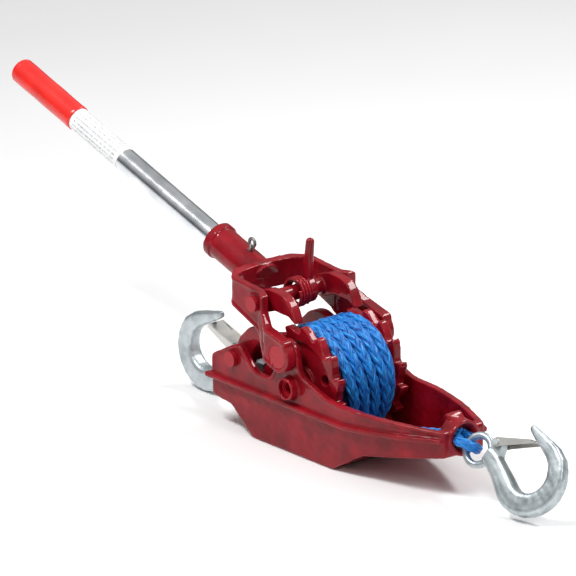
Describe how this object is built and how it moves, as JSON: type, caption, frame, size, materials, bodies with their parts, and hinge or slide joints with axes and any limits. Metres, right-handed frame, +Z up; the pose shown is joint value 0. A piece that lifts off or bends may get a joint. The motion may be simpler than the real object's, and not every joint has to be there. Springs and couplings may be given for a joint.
{
  "type": "come along winch",
  "caption": "Hand lever rope puller: cast boat-shaped frame, rope drum between ratchet wheels, forked lever with pawl, latched hook at each end.",
  "frame": {"origin": "on the flat keel face, straight below the drum axis, midway between the side walls", "axes": "+X towards the front hook, +Y across the drum, +Z up"},
  "size_m": [0.8896, 0.151, 0.2934],
  "materials": {
    "red_paint": "glossy dark red enamel over cast iron",
    "zinc": "bright zinc plate",
    "grey_steel": "dull plated spring steel",
    "blue_rope": "braided synthetic fibre",
    "red_vinyl": "glossy dipped vinyl",
    "label": null,
    "bronze": "sintered bronze"
  },
  "bodies": {
    "frame": {"frame_casting": "red_paint", "drum_axle": "red_paint", "axle_retainers": "red_paint", "lever_trunnions": "red_paint", "holding_pawl_pin": "red_paint", "rope_lead": "blue_rope", "rope_eye": "blue_rope"},
    "drum": {"drum_barrel": "red_paint", "drum_bushes": "bronze", "ratchet_wheel_near": "red_paint", "ratchet_wheel_far": "red_paint", "wheel_rivets": "red_paint", "rope_winding": "blue_rope"},
    "lever": {"lever_yoke": "red_paint", "handle_tube": "zinc", "handle_grip": "red_vinyl", "handle_label": "label", "handle_cotter": "grey_steel", "drive_pawl_pin": "red_paint"},
    "drive_pawl": {"drive_pawl": "red_paint", "drive_pawl_spring": "red_paint"},
    "pawl_lever": {"pawl_lever": "red_paint"},
    "holding_pawl": {"holding_pawl": "red_paint", "holding_pawl_spring": "grey_steel"},
    "rear_hook": {"rear_hook": "zinc", "rear_hook_washer": "zinc", "rear_hook_nut": "zinc", "rear_latch_rivet": "zinc", "rear_latch_spring": "grey_steel"},
    "rear_latch": {"rear_latch": "grey_steel"},
    "front_hook": {"front_hook": "zinc", "front_latch_rivet": "zinc", "front_latch_spring": "grey_steel"},
    "front_latch": {"front_latch": "grey_steel"}
  },
  "joints": [
    {"name": "drum_spin", "type": "hinge", "parent": "frame", "child": "drum", "pos_m": [0, 0, 0.0744], "axis": [0, 1, 0], "continuous": true},
    {"name": "lever_swing", "type": "hinge", "parent": "frame", "child": "lever", "pos_m": [-0.0084, 0, 0.1094], "axis": [0, 1, 0], "range_deg": [0, 90]},
    {"name": "drive_pawl_turn", "type": "hinge", "parent": "lever", "child": "drive_pawl", "pos_m": [-0.066, 0, 0.1504], "axis": [0, -1, 0], "range_deg": [0, 38]},
    {"name": "pawl_lever_flip", "type": "hinge", "parent": "lever", "child": "pawl_lever", "pos_m": [-0.066, 0, 0.1504], "axis": [0, 1, 0], "range_deg": [-35, 25]},
    {"name": "holding_pawl_lift", "type": "hinge", "parent": "frame", "child": "holding_pawl", "pos_m": [-0.098, 0, 0.0804], "axis": [0, -1, 0], "range_deg": [0, 22], "stiffness_Nm_per_rad": 0.3, "springref_deg": -17.19},
    {"name": "rear_hook_swivel", "type": "hinge", "parent": "frame", "child": "rear_hook", "pos_m": [-0.137, 0, 0.0534], "axis": [1, 0, 0], "continuous": true},
    {"name": "rear_latch_open", "type": "hinge", "parent": "rear_hook", "child": "rear_latch", "pos_m": [-0.159, 0, 0.0624], "axis": [0, -1, 0], "range_deg": [0, 35], "stiffness_Nm_per_rad": 0.03, "springref_deg": -22.92},
    {"name": "front_hook_swing", "type": "hinge", "parent": "frame", "child": "front_hook", "pos_m": [0.24, -0.004, 0.0564], "axis": [0.1876, -0.8653, 0.4649], "range_deg": [0, 30]},
    {"name": "front_latch_open", "type": "hinge", "parent": "front_hook", "child": "front_latch", "pos_m": [0.26346, 0.00688, 0.06719], "axis": [-0.1876, 0.8653, -0.4649], "range_deg": [0, 35], "stiffness_Nm_per_rad": 0.03, "springref_deg": -22.92}
  ],
  "couplings": [
    {"joint": "drive_pawl_turn", "follows": "lever_swing", "ratio": 0.4}
  ]
}
